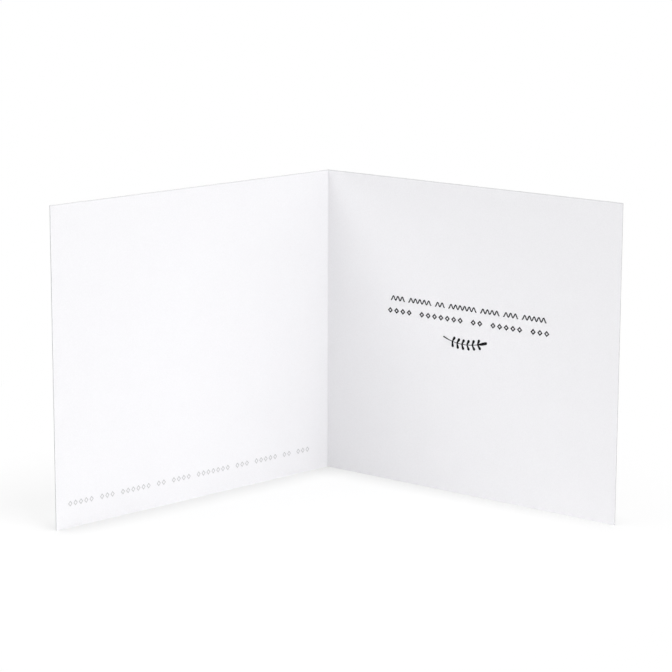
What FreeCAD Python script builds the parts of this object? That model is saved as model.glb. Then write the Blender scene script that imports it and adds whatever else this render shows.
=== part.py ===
"""A greeting card standing open: one sheet of white card stock, folded once.

Frame, in millimetres: +Z up, the card stands on Z = 0, the fold runs upright at
the back (+Y), the leaves open towards -Y, and X = 0 is the card's mirror plane.
The origin is the middle of the card's footprint.
"""
import FreeCAD, Part
import math
import os

import Sketcher

NODE = "card"

# Driving dimensions: name, size, meaning.
SIZES = [
    ("leaf_width", 139.7, "one leaf, from the fold to its free edge"),
    ("card_height", 127.0, "along the fold"),
    ("stock_thickness", 0.4, "caliper of the card stock"),
    ("opening_angle", 101.4, "degrees between the inner faces of the leaves"),
    ("bead_radius", 0.2, "ridge that the score squeezes up inside the fold"),
]

# Points of a sketch element: its start, its end, and an arc's centre.
START, END, CENTRE = range(1, 4)

# Every sketch's own origin, as its constraints number it.
SKETCH_ORIGIN = -1


def add_sizes(doc):
    """Put the driving dimensions in a sheet, one named cell each."""
    sheet = doc.addObject("Spreadsheet::Sheet", "Sizes")
    for row, (name, size, meaning) in enumerate(SIZES, start=1):
        sheet.set("A%d" % row, name)
        sheet.set("B%d" % row, str(size))
        sheet.setAlias("B%d" % row, name)
        sheet.set("C%d" % row, meaning)
    doc.recompute()
    return sheet


def fold_section(body, sheet):
    """Sketch the sheet's section across the fold, seen from above.

    Both arcs share one centre, the corner where the inner faces would meet. The
    outer arc is the back of the fold, as far from that corner as the stock is
    thick. The inner arc is the bead that a scored fold has along its inside.
    """
    width = sheet.leaf_width
    stock = sheet.stock_thickness
    bead = sheet.bead_radius
    half_angle = math.radians(sheet.opening_angle / 2)
    corner = FreeCAD.Vector(0, (width * math.cos(half_angle) - stock) / 2, 0)

    def leaf_points(side):
        """The right leaf has side 1 and the left leaf has side -1."""
        along = FreeCAD.Vector(side * math.sin(half_angle), -math.cos(half_angle), 0)
        outward = FreeCAD.Vector(side * math.cos(half_angle), math.sin(half_angle), 0)
        outer_fold = corner + outward * stock
        outer_free = outer_fold + along * width
        inner_free = corner + along * width
        inner_fold = corner + along * bead
        return outer_fold, outer_free, inner_free, inner_fold

    def arc(radius, first, last):
        circle = Part.Circle(corner, FreeCAD.Vector(0, 0, 1), radius)
        return Part.ArcOfCircle(circle, circle.parameter(first), circle.parameter(last))

    outer_fold_r, outer_free_r, inner_free_r, inner_fold_r = leaf_points(1)
    outer_fold_l, outer_free_l, inner_free_l, inner_fold_l = leaf_points(-1)
    back = corner + FreeCAD.Vector(0, stock, 0)

    sketch = body.newObject("Sketcher::SketchObject", "FoldSection")
    xy_plane = next(p for p in body.Origin.OriginFeatures if p.Role == "XY_Plane")
    sketch.AttachmentSupport = [(xy_plane, "")]
    sketch.MapMode = "FlatFace"

    outer_r = sketch.addGeometry(Part.LineSegment(outer_fold_r, outer_free_r))
    edge_r = sketch.addGeometry(Part.LineSegment(outer_free_r, inner_free_r))
    inner_r = sketch.addGeometry(Part.LineSegment(inner_free_r, inner_fold_r))
    bead_arc = sketch.addGeometry(arc(bead, inner_fold_l, inner_fold_r))
    inner_l = sketch.addGeometry(Part.LineSegment(inner_fold_l, inner_free_l))
    edge_l = sketch.addGeometry(Part.LineSegment(inner_free_l, outer_free_l))
    outer_l = sketch.addGeometry(Part.LineSegment(outer_free_l, outer_fold_l))
    back_arc = sketch.addGeometry(arc(stock, outer_fold_r, outer_fold_l))
    depth_line = sketch.addGeometry(
        Part.LineSegment(back, FreeCAD.Vector(0, -back.y, 0)), True)

    def tie(kind, *where):
        return sketch.addConstraint(Sketcher.Constraint(kind, *where))

    # The outline closes. The back of the fold runs smoothly into both leaves.
    tie("Tangent", back_arc, START, outer_r, START)
    tie("Coincident", outer_r, END, edge_r, START)
    tie("Coincident", edge_r, END, inner_r, START)
    tie("Coincident", inner_r, END, bead_arc, END)
    tie("Coincident", bead_arc, START, inner_l, START)
    tie("Coincident", inner_l, END, edge_l, START)
    tie("Coincident", edge_l, END, outer_l, START)
    tie("Tangent", outer_l, END, back_arc, END)

    # The leaves are flat and of even thickness, with square-cut edges.
    tie("Coincident", bead_arc, CENTRE, back_arc, CENTRE)
    tie("PointOnObject", back_arc, CENTRE, inner_r)
    tie("PointOnObject", back_arc, CENTRE, inner_l)
    tie("Parallel", outer_r, inner_r)
    tie("Parallel", outer_l, inner_l)
    tie("Perpendicular", outer_r, edge_r)
    tie("Perpendicular", outer_l, edge_l)
    tie("Symmetric", inner_r, START, inner_l, END, depth_line)

    # The depth line runs through the origin, from the back of the fold to level
    # with the leaves' front corners, so the footprint lies evenly about the origin.
    tie("Vertical", depth_line)
    tie("Symmetric", depth_line, START, depth_line, END, SKETCH_ORIGIN, START)
    tie("PointOnObject", back_arc, CENTRE, depth_line)
    tie("PointOnObject", depth_line, START, back_arc)
    tie("Horizontal", depth_line, END, inner_r, START)

    def size(alias, kind, *where):
        index = tie(kind, *where)
        sketch.renameConstraint(index, alias)
        sketch.setExpression("Constraints." + alias, "Sizes." + alias)

    size("leaf_width", "Distance", outer_r, width)
    size("stock_thickness", "Radius", back_arc, stock)
    size("bead_radius", "Radius", bead_arc, bead)
    size("opening_angle", "Angle", inner_l, START, inner_r, END, 2 * half_angle)
    return sketch


def make_card(doc, sheet):
    """One sheet: the section across the fold, raised to the card's height."""
    body = doc.addObject("PartDesign::Body", "Card")
    body.Label = NODE
    section = fold_section(body, sheet)
    pad = body.newObject("PartDesign::Pad", "Sheet")
    pad.Profile = section
    pad.setExpression("Length", "Sizes.card_height")
    section.Visibility = False
    return body, section


def check(doc, body, section):
    """Stop with a plain message if a step of the model failed."""
    for item in doc.Objects:
        if "Invalid" in item.State or "Error" in item.State:
            raise RuntimeError("%s is not computed: %s" % (item.Label, item.State))
    if not section.FullyConstrained:
        raise RuntimeError("the fold section can still move")
    if body.Shape.isNull() or not body.Shape.isValid():
        raise RuntimeError("%s has no valid shape" % body.Label)


def main():
    doc = FreeCAD.newDocument("GreetingCard")
    sheet = add_sizes(doc)
    body, section = make_card(doc, sheet)
    doc.recompute()
    check(doc, body, section)

    os.makedirs("parts", exist_ok=True)
    body.Shape.exportStep("parts/%s.step" % body.Label)
    box = body.Shape.BoundBox
    print("%s: %.2f x %.2f x %.2f mm, %.1f mm3" % (
        body.Label, box.XLength, box.YLength, box.ZLength, body.Shape.Volume))
    print("X %.3f to %.3f, Y %.3f to %.3f, Z %.3f to %.3f" % (
        box.XMin, box.XMax, box.YMin, box.YMax, box.ZMin, box.ZMax))


main()
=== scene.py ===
"""Looks of a greeting card that stands open: paper, print, floor, light and camera.

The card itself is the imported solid, in metres: +Z up, fold at the back (+Y), open
side towards -Y. The print is thin closed ink shapes on the inside of the leaves:
a message of two lines over a leaf sprig on the right, and a pale line along the
foot on the left. The lines are plain ornament, squiggles and lozenges, in groups
as long as words.
"""

import math
from typing import NamedTuple

import bmesh
import bpy
from mathutils import Matrix, Vector


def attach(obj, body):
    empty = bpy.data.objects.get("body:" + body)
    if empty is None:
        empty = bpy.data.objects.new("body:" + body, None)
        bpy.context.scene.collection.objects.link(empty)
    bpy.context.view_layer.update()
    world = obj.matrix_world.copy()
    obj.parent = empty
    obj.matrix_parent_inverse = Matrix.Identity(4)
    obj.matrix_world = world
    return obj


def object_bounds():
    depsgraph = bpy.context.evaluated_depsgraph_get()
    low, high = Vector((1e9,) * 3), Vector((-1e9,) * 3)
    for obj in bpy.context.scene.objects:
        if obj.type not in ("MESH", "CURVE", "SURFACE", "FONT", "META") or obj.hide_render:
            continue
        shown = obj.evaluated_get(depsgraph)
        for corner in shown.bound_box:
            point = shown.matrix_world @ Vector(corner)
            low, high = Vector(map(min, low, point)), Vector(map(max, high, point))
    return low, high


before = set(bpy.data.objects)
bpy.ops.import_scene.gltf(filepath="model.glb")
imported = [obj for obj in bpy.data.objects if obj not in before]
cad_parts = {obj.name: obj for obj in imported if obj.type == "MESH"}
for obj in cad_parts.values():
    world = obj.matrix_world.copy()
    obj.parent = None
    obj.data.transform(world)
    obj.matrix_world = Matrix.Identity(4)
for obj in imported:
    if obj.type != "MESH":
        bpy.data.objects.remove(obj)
cad_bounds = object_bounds()
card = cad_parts["card"]

MM = 0.001

# Ink stands a little proud of the paper and reaches a little into it.
INK_PROUD = 0.03 * MM
INK_SUNK = 0.03 * MM
LEAF_PROUD = 0.04 * MM          # the sprig's leaves lie over its stem
CAP_STEPS = 6                   # in the half circle at a stroke's end


class Line(NamedTuple):
    """A line of print: its place on a leaf, read from the left, and its size."""
    words: tuple                # signs in each
    middle: float               # from the leaf's left edge
    length: float
    base: float                 # from the foot of the card
    height: float
    stroke: float


# The two lines on the right leaf and the sprig under them share one upright axis.
MESSAGE_AXIS = 69.3 * MM        # from the fold
MESSAGE_STROKE = 0.53 * MM
SQUIGGLES = Line(words=(3, 5, 2, 6, 4, 3, 5), middle=MESSAGE_AXIS, length=74.3 * MM,
                 base=76.0 * MM, height=2.2 * MM, stroke=MESSAGE_STROKE)
LOZENGES = Line(words=(4, 7, 2, 5, 3), middle=MESSAGE_AXIS, length=78.3 * MM,
                base=70.6 * MM, height=2.5 * MM, stroke=MESSAGE_STROKE)

# The pale line runs along the foot of the left leaf.
FOOT_LOZENGES = Line(words=(5, 3, 6, 2, 4, 7, 3, 5, 2, 3), middle=67.4 * MM,
                     length=124.0 * MM, base=8.4 * MM, height=2.4 * MM,
                     stroke=0.34 * MM)

WORD_GAP = 1.0                  # in signs
WAVE_POINTS = 14                # in one wave of a squiggle
LOZENGE_SHARE = 0.78            # of a sign's room that a lozenge is wide

# The sprig's stem is a quadratic curve, its three points given across from the
# message axis and up from the foot. Its leaves stand in pairs and lean ahead, by
# degrees from the upright that change evenly from the first pair to the last.
SPRIG_TAIL = Vector((-11.0, 64.3)) * MM
SPRIG_SAG = Vector((-1.8, 60.1)) * MM
SPRIG_TIP = Vector((10.3, 64.5)) * MM
STEM_POINTS = 24
STEM_END = 0.90                         # as a share of the curve, in the last leaf
TAIL_STROKE, STEM_STROKE = 0.58 * MM, 0.26 * MM
LEAF_PAIRS = 6
FIRST_PAIR, LAST_PAIR = 0.22, 0.79      # as shares of the curve
UPPER_LEANS = (33, 20)
LOWER_LEANS = (6, 38)
LEAF_SPINE = 1.8 * MM                   # to the middle of its round end
LEAF_WIDTHS = (0.62 * MM, 0.84 * MM, 1.18 * MM)
LAST_LEAF_SHARES = (0.81, 0.88, 0.96)   # of the curve, for its spine's points
LAST_LEAF_WIDTHS = (0.55 * MM, 1.18 * MM, 1.18 * MM)

# Two faces whose normals have a larger dot product than this lie in one plane.
ALIKE = 0.99999


class Leaf:
    """The printed inner face of one leaf of the card, read from left to right."""

    def __init__(self, side):
        """The right leaf has side 1 and the left leaf has side -1."""
        mesh = card.data
        inward = [p for p in mesh.polygons if p.normal.x * side < 0 and p.normal.y < 0]
        self.normal = max(inward, key=lambda p: p.area).normal.copy()
        self.up = Vector((0, 0, 1))
        self.across = self.up.cross(self.normal)
        face = [p for p in inward if p.normal.dot(self.normal) > ALIKE]
        corners = [mesh.vertices[i].co for p in face for i in p.vertices]
        self.corner = min(corners, key=lambda c: c.dot(self.across) + c.z).copy()

    def point(self, flat, proud):
        """A point given across and up the leaf, this far in front of its face."""
        on_face = self.corner + self.across * flat.x + self.up * flat.y
        return on_face + self.normal * proud


def add_slab(mesh, leaf, points, faces, proud=INK_PROUD):
    """Raise flat faces into a closed slab of ink. Faces run anticlockwise."""
    top = [mesh.verts.new(leaf.point(p, proud)) for p in points]
    base = [mesh.verts.new(leaf.point(p, -INK_SUNK)) for p in points]
    edges = [(face[i - 1], face[i]) for face in faces for i in range(len(face))]
    inner = set(edges)
    for face in faces:
        mesh.faces.new([top[i] for i in face])
        mesh.faces.new([base[i] for i in reversed(face)])
    for a, b in edges:
        if (b, a) not in inner:
            mesh.faces.new([top[a], base[a], base[b], top[b]])


def half_turn(middle, start):
    """Points of the half circle that runs anticlockwise from start, ends left out."""
    arm = start - middle
    turns = [math.pi * k / CAP_STEPS for k in range(1, CAP_STEPS)]
    return [middle + Matrix.Rotation(turn, 2) @ arm for turn in turns]


def add_stroke(mesh, leaf, centre, widths, proud=INK_PROUD):
    """Draw one round-ended stroke along flat points, with a width at each.

    The points of its outline are numbered along its left side, along its right
    side, round its nose and round its tail.
    """
    last = len(centre) - 1
    left = []
    right = []
    for i, point in enumerate(centre):
        ahead = (centre[min(i + 1, last)] - centre[max(i - 1, 0)]).normalized()
        side = Vector((-ahead.y, ahead.x)) * widths[i] / 2
        left.append(point + side)
        right.append(point - side)
    nose = half_turn(centre[-1], right[-1])
    tail = half_turn(centre[0], left[0])

    right_start = len(left)
    nose_start = right_start + len(right)
    tail_start = nose_start + len(nose)
    end = tail_start + len(tail)
    faces = [[right_start + i, right_start + i + 1, i + 1, i] for i in range(last)]
    faces.append([right_start + last, *range(nose_start, tail_start), last])
    faces.append([0, *range(tail_start, end), right_start])
    add_slab(mesh, leaf, left + right + nose + tail, faces, proud)


def add_lozenge(mesh, leaf, middle, width, height, stroke):
    """Draw the outline of a lozenge, as wide and as high as given outside."""
    # A stroke of even width takes this share of each half, measured to a tip.
    rim = 2 * stroke * math.hypot(width, height) / (width * height)
    points = []
    for share in (1, 1 - rim):
        right = Vector((width / 2 * share, 0))
        up = Vector((0, height / 2 * share))
        points += [middle + right, middle + up, middle - right, middle - up]
    faces = [[i, (i + 1) % 4, 4 + (i + 1) % 4, 4 + i] for i in range(4)]
    add_slab(mesh, leaf, points, faces)


def set_words(line):
    """The places of all signs of a line, word by word, and the room of one sign."""
    gaps = len(line.words) - 1
    room = line.length / (sum(line.words) + WORD_GAP * gaps)
    words = []
    place = line.middle - line.length / 2
    for count in line.words:
        words.append([place + room * (k + 0.5) for k in range(count)])
        place += room * (count + WORD_GAP)
    return words, room


def squiggle_line(mesh, leaf, line):
    """A line of even waves, one unbroken stroke a word."""
    words, room = set_words(line)
    swing = (line.height - line.stroke) / 2
    for places in words:
        start = places[0] - room / 2
        centre = []
        for k in range(WAVE_POINTS * len(places) + 1):
            waves = k / WAVE_POINTS
            rise = swing * (1 - math.cos(2 * math.pi * waves))
            centre.append(Vector((start + room * waves,
                                  line.base + line.stroke / 2 + rise)))
        add_stroke(mesh, leaf, centre, [line.stroke] * len(centre))


def lozenge_line(mesh, leaf, line):
    """A line of small upright lozenges, spaced a little apart."""
    words, room = set_words(line)
    for places in words:
        for place in places:
            middle = Vector((place, line.base + line.height / 2))
            add_lozenge(mesh, leaf, middle, room * LOZENGE_SHARE, line.height,
                        line.stroke)


def stem_point(share):
    """A point of the curve of the sprig's stem, from its tail (0) to its tip (1)."""
    origin = Vector((MESSAGE_AXIS, 0))
    rest = 1 - share
    return (origin + SPRIG_TAIL * rest ** 2 + SPRIG_SAG * 2 * share * rest
            + SPRIG_TIP * share ** 2)


def between(ends, share):
    """The value this share of the way from one end to the other."""
    return ends[0] + (ends[1] - ends[0]) * share


def sprig(mesh, leaf):
    """A stem with pairs of club-shaped leaves and one leaf at its tip."""
    shares = [STEM_END * k / STEM_POINTS for k in range(STEM_POINTS + 1)]
    strokes = (TAIL_STROKE, STEM_STROKE)
    widths = [between(strokes, min(share / FIRST_PAIR, 1)) for share in shares]
    add_stroke(mesh, leaf, [stem_point(share) for share in shares], widths)

    for k in range(LEAF_PAIRS):
        along = k / (LEAF_PAIRS - 1)
        root = stem_point(between((FIRST_PAIR, LAST_PAIR), along))
        for leans, up in ((UPPER_LEANS, 1), (LOWER_LEANS, -1)):
            lean = math.radians(between(leans, along))
            spine = Vector((math.sin(lean), up * math.cos(lean))) * LEAF_SPINE
            add_stroke(mesh, leaf, [root, root + spine / 2, root + spine],
                       LEAF_WIDTHS, LEAF_PROUD)
    add_stroke(mesh, leaf, [stem_point(share) for share in LAST_LEAF_SHARES],
               LAST_LEAF_WIDTHS, LEAF_PROUD)


def add_object(name, data):
    """Put a mesh, a lamp or a camera in the scene."""
    item = bpy.data.objects.new(name, data)
    bpy.context.scene.collection.objects.link(item)
    return item


def add_mesh(name, mesh, material):
    """Put a finished mesh in the scene, in one material."""
    data = bpy.data.meshes.new(name)
    mesh.to_mesh(data)
    mesh.free()
    data.materials.append(material)
    return add_object(name, data)


def print_piece(name, draw, material, slot, *where):
    """Make a piece of print: draw fills its mesh, and it rides on the card."""
    mesh = bmesh.new()
    draw(mesh, *where)
    piece = add_mesh(name, mesh, material)
    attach(piece, "root")


# Card stock: a bright, faintly blue white. Its cut edges, a band along its top and free
# edges, and the fold are darkened with painted shade.
PAPER_COLOR = (0.894, 0.890, 0.909)
# The cut edges' colour: painted shade, over the cut's own slight dullness.
CUT_SHADE_COLOR = (0.66, 0.66, 0.67)
PAPER_ROUGHNESS = 0.85
FIBRE_SIZE = 0.45 * MM
FIBRE_DETAIL = 4.0
FIBRE_CONTRAST = 0.12
CLOUD_SIZE = 9 * MM
CLOUD_CONTRAST = 0.015
TOOTH_SIZE = 0.25 * MM
TOOTH_DEPTH = 0.035 * MM
RIM_SHADE_WIDTH = 0.5 * MM        # painted shade in a line inside the top and free edges
RIM_SHADE_TONE = 0.80
FOLD_SHADE_WIDTH = 0.6 * MM         # painted shade in the fold, to each side of it
FOLD_SHADE_TONE = 0.95              # where the painted shade is darkest

DARK_INK = (0.030, 0.030, 0.034)
BLACK_INK = (0.005, 0.005, 0.006)
PALE_INK = (0.60, 0.60, 0.61)
INK_ROUGHNESS = 0.6
INK_SHEEN = 0.15
INK_CONTRAST = 0.3

NOISE_DETAIL = 2.0

# How far up or down a normal points, halfway from an upright face to a level one.
HALF_LEVEL = 0.5

# A Mix node has sockets of the same names for each kind of value, so its colour
# sockets go by their numbers.
MIX_A, MIX_B, MIX_RESULT = 6, 7, 2


class Nodes:
    """A node tree, with short ways to add the nodes that the looks share."""

    def __init__(self, tree):
        self.tree = tree

    def feed(self, node, inputs):
        """Set inputs of a node to numbers or colours, or link them to outputs."""
        for name, value in inputs.items():
            if isinstance(value, bpy.types.NodeSocket):
                self.tree.links.new(value, node.inputs[name])
            else:
                node.inputs[name].default_value = value

    def add(self, kind, inputs=None, **settings):
        """Add a node with these settings and inputs, and give its outputs."""
        node = self.tree.nodes.new("ShaderNode" + kind)
        for name, value in settings.items():
            setattr(node, name, value)
        self.feed(node, inputs or {})
        return node.outputs

    def math(self, operation, *values):
        """A sum, given as Blender's name of it and its numbers in order."""
        return self.add("Math", dict(enumerate(values)), operation=operation)["Value"]

    def larger(self, value, other):
        """The larger of two values."""
        return self.math("MAXIMUM", value, other)

    def exceeds(self, value, limit):
        """1 where a value is further from 0 than a limit, either way."""
        return self.math("GREATER_THAN", self.math("ABSOLUTE", value), limit)

    def ramp(self, value, low, high):
        """0 where the value is at low, 1 at high, eased between them."""
        inputs = {"Value": value, "From Min": low, "From Max": high}
        return self.add("MapRange", inputs, interpolation_type="SMOOTHSTEP")["Result"]

    def dimmed(self, share, tone):
        """1 where the share is 0, falling to the tone where it is 1."""
        return self.math("MULTIPLY_ADD", share, tone - 1, 1.0)

    def around_one(self, noise, contrast):
        """Noise spread about 1, this far from its least value to its greatest."""
        return self.math("MULTIPLY_ADD", noise, contrast, 1 - contrast / 2)

    def place(self):
        """Where a point is on its object, in metres."""
        return self.add("TexCoord")["Object"]

    def noise(self, size, detail=NOISE_DETAIL):
        """Noise about 0.5, its features of the given size in metres."""
        inputs = {"Vector": self.place(), "Scale": 1 / size, "Detail": detail}
        return self.add("TexNoise", inputs)["Fac"]

    def split(self, vector):
        """The X, Y and Z of a vector."""
        return self.add("SeparateXYZ", {"Vector": vector})

    def shade(self, color, tone):
        """A colour times a grey tone."""
        inputs = {"Factor": 1.0, MIX_A: color, MIX_B: tone}
        mixed = self.add("Mix", inputs, data_type="RGBA", blend_type="MULTIPLY")
        return mixed[MIX_RESULT]

    def blend(self, share, color, other):
        """One colour where the share is 0 and the other where it is 1."""
        inputs = {"Factor": share, MIX_A: color, MIX_B: other}
        return self.add("Mix", inputs, data_type="RGBA")[MIX_RESULT]

    def tooth(self):
        """The normals of paper that has a fine tooth."""
        inputs = {"Height": self.noise(TOOTH_SIZE), "Distance": TOOTH_DEPTH}
        return self.add("Bump", inputs)["Normal"]

    def diffuse(self, color):
        """A shader that scatters light."""
        return self.add("BsdfDiffuse", {"Color": (*color, 1)})[0]

    def glow(self, strength):
        """A shader that gives its own white light."""
        return self.add("Emission", {"Strength": strength})[0]

    def choice(self, share, shader, other):
        """One shader where the share is 0 and the other where it is 1."""
        return self.add("MixShader", {0: share, 1: shader, 2: other})[0]

    def seen_directly(self):
        """1 for rays that show the surroundings, straight or in gloss or glass."""
        ray = self.add("LightPath")
        straight_or_gloss = self.larger(ray["Is Camera Ray"], ray["Is Glossy Ray"])
        return self.larger(straight_or_gloss, ray["Is Transmission Ray"])

    def show(self, output, otherwise, direct):
        """Show one shader to rays that see the surroundings, another to the rest."""
        shader = self.choice(self.seen_directly(), otherwise, direct)
        self.add(output, {"Surface": shader})


def new_material(name):
    """A new material and its nodes."""
    material = bpy.data.materials.new(name)
    material.use_nodes = True
    return material, Nodes(material.node_tree)


def paper_material(leaf):
    """White card stock, with painted shade on its cut edges, along their rims and in the
    fold.
    """
    material, nodes = new_material("card_stock")
    box_high = cad_bounds[1]
    place = nodes.split(nodes.place())
    facing = nodes.split(nodes.add("NewGeometry")["True Normal"])
    aside = nodes.math("ABSOLUTE", place["X"])

    # A leaf's faces are upright and look along its normal. A cut edge looks up,
    # down or along the leaf.
    half_along = (abs(leaf.normal.x) + abs(leaf.across.x)) / 2
    cut = nodes.larger(nodes.exceeds(facing["X"], half_along),
                       nodes.exceeds(facing["Z"], HALF_LEVEL))

    # Painted shade: a darker band along the top and free edges, none along the foot.
    reach = RIM_SHADE_WIDTH * abs(leaf.across.x)
    rim = nodes.larger(nodes.ramp(aside, box_high.x - reach, box_high.x),
                       nodes.ramp(place["Z"], box_high.z - RIM_SHADE_WIDTH, box_high.z))
    # Painted shade in the fold, broken up by fibre noise.
    fold_shade = nodes.math("MULTIPLY", nodes.ramp(aside, FOLD_SHADE_WIDTH, 0.0),
                        nodes.noise(FIBRE_SIZE))

    tone = nodes.around_one(nodes.noise(FIBRE_SIZE, FIBRE_DETAIL), FIBRE_CONTRAST)
    for other in (nodes.around_one(nodes.noise(CLOUD_SIZE), CLOUD_CONTRAST),
                  nodes.dimmed(rim, RIM_SHADE_TONE),
                  nodes.dimmed(fold_shade, FOLD_SHADE_TONE)):
        tone = nodes.math("MULTIPLY", tone, other)
    # Cut edges take their painted shade colour.
    color = nodes.blend(cut, (*PAPER_COLOR, 1), (*CUT_SHADE_COLOR, 1))
    nodes.feed(nodes.tree.nodes["Principled BSDF"], {
        "Base Color": nodes.shade(color, tone),
        "Roughness": PAPER_ROUGHNESS,
        "Normal": nodes.tooth(),
    })
    return material


def ink_material(name, color):
    """Matte ink, a little uneven where it took the paper's tooth."""
    material, nodes = new_material(name)
    tone = nodes.around_one(nodes.noise(TOOTH_SIZE), INK_CONTRAST)
    nodes.feed(nodes.tree.nodes["Principled BSDF"], {
        "Base Color": nodes.shade((*color, 1), tone),
        "Roughness": INK_ROUGHNESS,
        "Specular IOR Level": INK_SHEEN,
        "Normal": nodes.tooth(),
    })
    return material


def print_inside():
    """Give the card its paper and its print."""
    left, right = Leaf(-1), Leaf(1)
    card.data.materials.clear()
    card.data.materials.append(paper_material(right))
    dark = ink_material("dark_ink", DARK_INK)
    black = ink_material("black_ink", BLACK_INK)
    pale = ink_material("pale_ink", PALE_INK)
    print_piece("message_line_1", squiggle_line, dark, "dark_print", right, SQUIGGLES)
    print_piece("message_line_2", lozenge_line, dark, "dark_print", right, LOZENGES)
    print_piece("foot_line", lozenge_line, pale, "pale_print", left, FOOT_LOZENGES)
    print_piece("leaf_sprig", sprig, black, "dark_print", right)


# The floor is white to the eye and keeps soft shadows: most of its light is its own
# glow, dimmed close to the card as a painted contact shadow, and the rest is what
# falls on it. Further off its own light makes it plain white, sooner on the card's
# right, where that painted white covers the card's shadow. To every other ray it is a
# pale floor.
FLOOR_SIZE = 6.0
FLOOR_COLOR = (0.88, 0.88, 0.88)
FLOOR_GLOW = 0.759
FLOOR_SHARE = (0.2, 0.2, 0.2)   # of the light that falls on it
CONTACT_REACH = 15 * MM
CONTACT_SHADE = 0.35            # painted contact shadow: share of the glow lost where the card touches
FAR_GLOW = 1.0
NEAR_MIDDLE = Vector((-0.05, -0.02, 0))     # of the ground that keeps shadows, left of the card: painted white comes in sooner on its right
NEAR_END, FAR_START = 0.09, 0.24            # in metres from there
SKY = 0.33


def floor_material():
    """The floor, as described above."""
    material, nodes = new_material("floor")
    nodes.tree.nodes.clear()
    # Painted contact shadow: the floor's glow dims where the card hides its surroundings.
    openness = nodes.add("AmbientOcclusion", {"Distance": CONTACT_REACH})["AO"]
    glow = nodes.math("MULTIPLY_ADD", openness, FLOOR_GLOW * CONTACT_SHADE,
                      FLOOR_GLOW * (1 - CONTACT_SHADE))
    near = nodes.add("AddShader", {0: nodes.diffuse(FLOOR_SHARE),
                                   1: nodes.glow(glow)})[0]
    away = nodes.add("VectorMath", {0: nodes.place(), 1: NEAR_MIDDLE},
                     operation="DISTANCE")["Value"]
    ground = nodes.choice(nodes.ramp(away, NEAR_END, FAR_START), near,
                          nodes.glow(FAR_GLOW))
    nodes.show("OutputMaterial", nodes.diffuse(FLOOR_COLOR), ground)
    return material


def add_floor():
    """A wide level floor at the card's foot."""
    mesh = bmesh.new()
    bmesh.ops.create_grid(mesh, x_segments=1, y_segments=1, size=FLOOR_SIZE / 2)
    floor = add_mesh("floor", mesh, floor_material())


def add_surroundings():
    """Even light from all round, which looks plain white."""
    world = bpy.data.worlds.new("surroundings")
    bpy.context.scene.world = world
    world.use_nodes = True
    nodes = Nodes(world.node_tree)
    nodes.tree.nodes.clear()
    light, white = [
        nodes.add("Background", {"Color": (1, 1, 1, 1), "Strength": strength})[0]
        for strength in (SKY, 1)]
    nodes.show("OutputWorld", light, white)


class Lamp(NamedTuple):
    """A square lamp that looks at the middle of the card."""
    name: str
    azimuth: float              # degrees round from the front, right is positive
    elevation: float            # degrees
    distance: float
    width: float
    watts: float


LAMPS = [
    Lamp("key", 35, 64, 1.3, 0.5, 9.0),
    Lamp("left_side", -85, 52, 1.3, 0.9, 8.0),
    Lamp("right_side", 80, 60, 1.3, 0.7, 0.8),
    Lamp("low_fill", 65, 12, 1.3, 0.5, 2.1),
    Lamp("low_front", 45, 10, 1.3, 0.3, 0.65),
    Lamp("back", 180, 50, 1.3, 0.5, 2.0),
]


def add_lamps():
    """Set up every lamp, turned to the middle of the card."""
    target = Vector((0, 0, cad_bounds[1].z / 2))
    for lamp in LAMPS:
        data = bpy.data.lights.new(lamp.name, "AREA")
        data.size = lamp.width
        data.energy = lamp.watts
        turn, rise = math.radians(lamp.azimuth), math.radians(lamp.elevation)
        away = Vector((math.sin(turn) * math.cos(rise),
                       -math.cos(turn) * math.cos(rise),
                       math.sin(rise)))
        item = add_object(lamp.name, data)
        item.location = target + away * lamp.distance
        item.rotation_euler = away.to_track_quat("Z", "Y").to_euler()


# The camera was fitted to the card's corners in the photograph.
CAMERA_PLACE = (-0.0392, -0.9258, 0.2716)
CAMERA_LENS = 126.98            # in millimetres, like the sensor
CAMERA_SENSOR = 36.0
CAMERA_YAW = math.radians(2.503)        # to the right
CAMERA_PITCH = math.radians(10.867)     # down
CAMERA_ROLL = math.radians(0.180)
CAMERA_SHIFT = -0.1


def add_camera():
    """Place the camera and make it the scene's own."""
    data = bpy.data.cameras.new("camera")
    data.lens = CAMERA_LENS
    data.sensor_width = CAMERA_SENSOR
    data.shift_y = CAMERA_SHIFT
    camera = add_object("camera", data)
    camera.location = CAMERA_PLACE
    aim = (Matrix.Rotation(-CAMERA_YAW, 3, "Z")
           @ Matrix.Rotation(math.pi / 2 - CAMERA_PITCH, 3, "X")
           @ Matrix.Rotation(CAMERA_ROLL, 3, "Z"))
    camera.rotation_euler = aim.to_euler()
    bpy.context.scene.camera = camera


print_inside()
add_floor()
add_surroundings()
add_lamps()
add_camera()
bpy.context.scene.view_settings.view_transform = "Standard"
